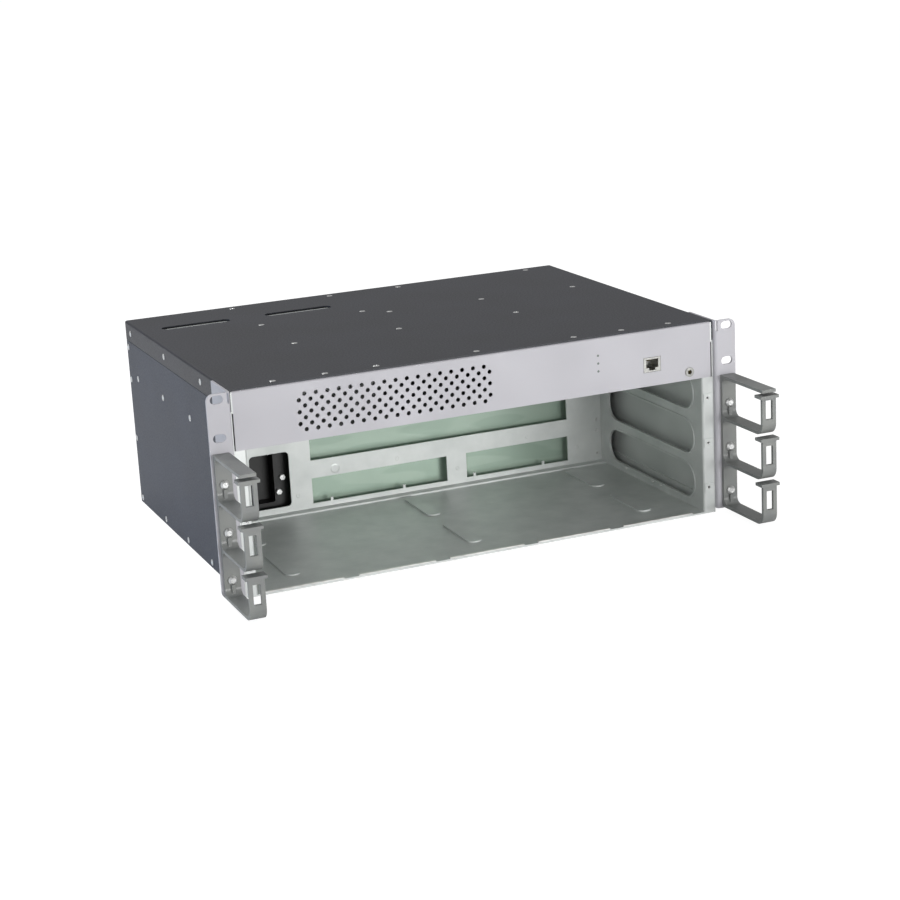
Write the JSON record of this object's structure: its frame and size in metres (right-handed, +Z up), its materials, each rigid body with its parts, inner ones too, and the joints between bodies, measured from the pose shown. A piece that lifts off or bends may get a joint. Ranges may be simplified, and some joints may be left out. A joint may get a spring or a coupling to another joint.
{
  "type": "modular switch chassis",
  "caption": "Rack chassis of a modular network switch: open card cage with a backplane, vented panel above, comb cable guides on both ears.",
  "frame": {"origin": "centre of the flat underside", "axes": "+X to the right seen from the front, -Y is the front, +Z up"},
  "size_m": [0.483, 0.4237, 0.176],
  "materials": {
    "body_paint": "satin dark blue-grey powder coat",
    "frame_steel": "plain zinc-plated sheet, matt",
    "front_paint": "fine matt light grey powder coat",
    "rear_steel": "plain zinc-plated sheet",
    "spring_steel": "bright",
    "guide_plastic": "fine matt moulding",
    "screw_steel": "bright",
    "board": "green solder mask on glass laminate",
    "standoff_brass": "turned",
    "black_plastic": "matt moulding",
    "jack_metal": "plated shell",
    "light_pipe": "clear moulding",
    "jack_brass": "plated"
  },
  "bodies": {
    "chassis": {"top_cover": "body_paint", "left_side_panel": "body_paint", "right_side_panel": "body_paint", "base_tray": "frame_steel", "left_cage_wall": "frame_steel", "right_cage_wall": "frame_steel", "cage_ceiling": "frame_steel", "backplane_plate": "frame_steel", "chamber_crosswall": "frame_steel", "bay_divider_1": "frame_steel", "bay_divider_2": "frame_steel", "front_panel": "front_paint", "left_ear": "front_paint", "right_ear": "front_paint", "rear_panel": "rear_steel", "fan_tray": "rear_steel", "power_supply_1": "rear_steel", "power_supply_2": "rear_steel", "floor_gasket_strips": "spring_steel", "left_cable_guide": "guide_plastic", "right_cable_guide": "guide_plastic", "cable_guide_screws": "screw_steel", "terminal_bolts": "screw_steel", "tray_knobs": "screw_steel", "backplane_board": "board", "control_board": "board", "board_standoffs": "standoff_brass", "control_board_standoffs": "standoff_brass", "ground_stud": "standoff_brass", "power_terminal_block": "black_plastic", "fan_frame_1": "black_plastic", "fan_frame_2": "black_plastic", "fan_frame_3": "black_plastic", "power_inlet_1": "black_plastic", "power_inlet_2": "black_plastic", "supply_handle_1": "black_plastic", "supply_handle_2": "black_plastic", "network_jack": "jack_metal", "status_light_pipes": "light_pipe", "wrist_strap_jack": "jack_brass"},
    "rotor_1": {"fan_rotor_1": "black_plastic"},
    "rotor_2": {"fan_rotor_2": "black_plastic"},
    "rotor_3": {"fan_rotor_3": "black_plastic"}
  },
  "joints": [
    {"name": "fan_spin_1", "type": "hinge", "parent": "chassis", "child": "rotor_1", "pos_m": [-0.13567, 0.15, 0.0633], "axis": [0, 1, 0], "continuous": true},
    {"name": "fan_spin_2", "type": "hinge", "parent": "chassis", "child": "rotor_2", "pos_m": [0, 0.15, 0.0633], "axis": [0, 1, 0], "continuous": true},
    {"name": "fan_spin_3", "type": "hinge", "parent": "chassis", "child": "rotor_3", "pos_m": [0.13567, 0.15, 0.0633], "axis": [0, 1, 0], "continuous": true}
  ]
}
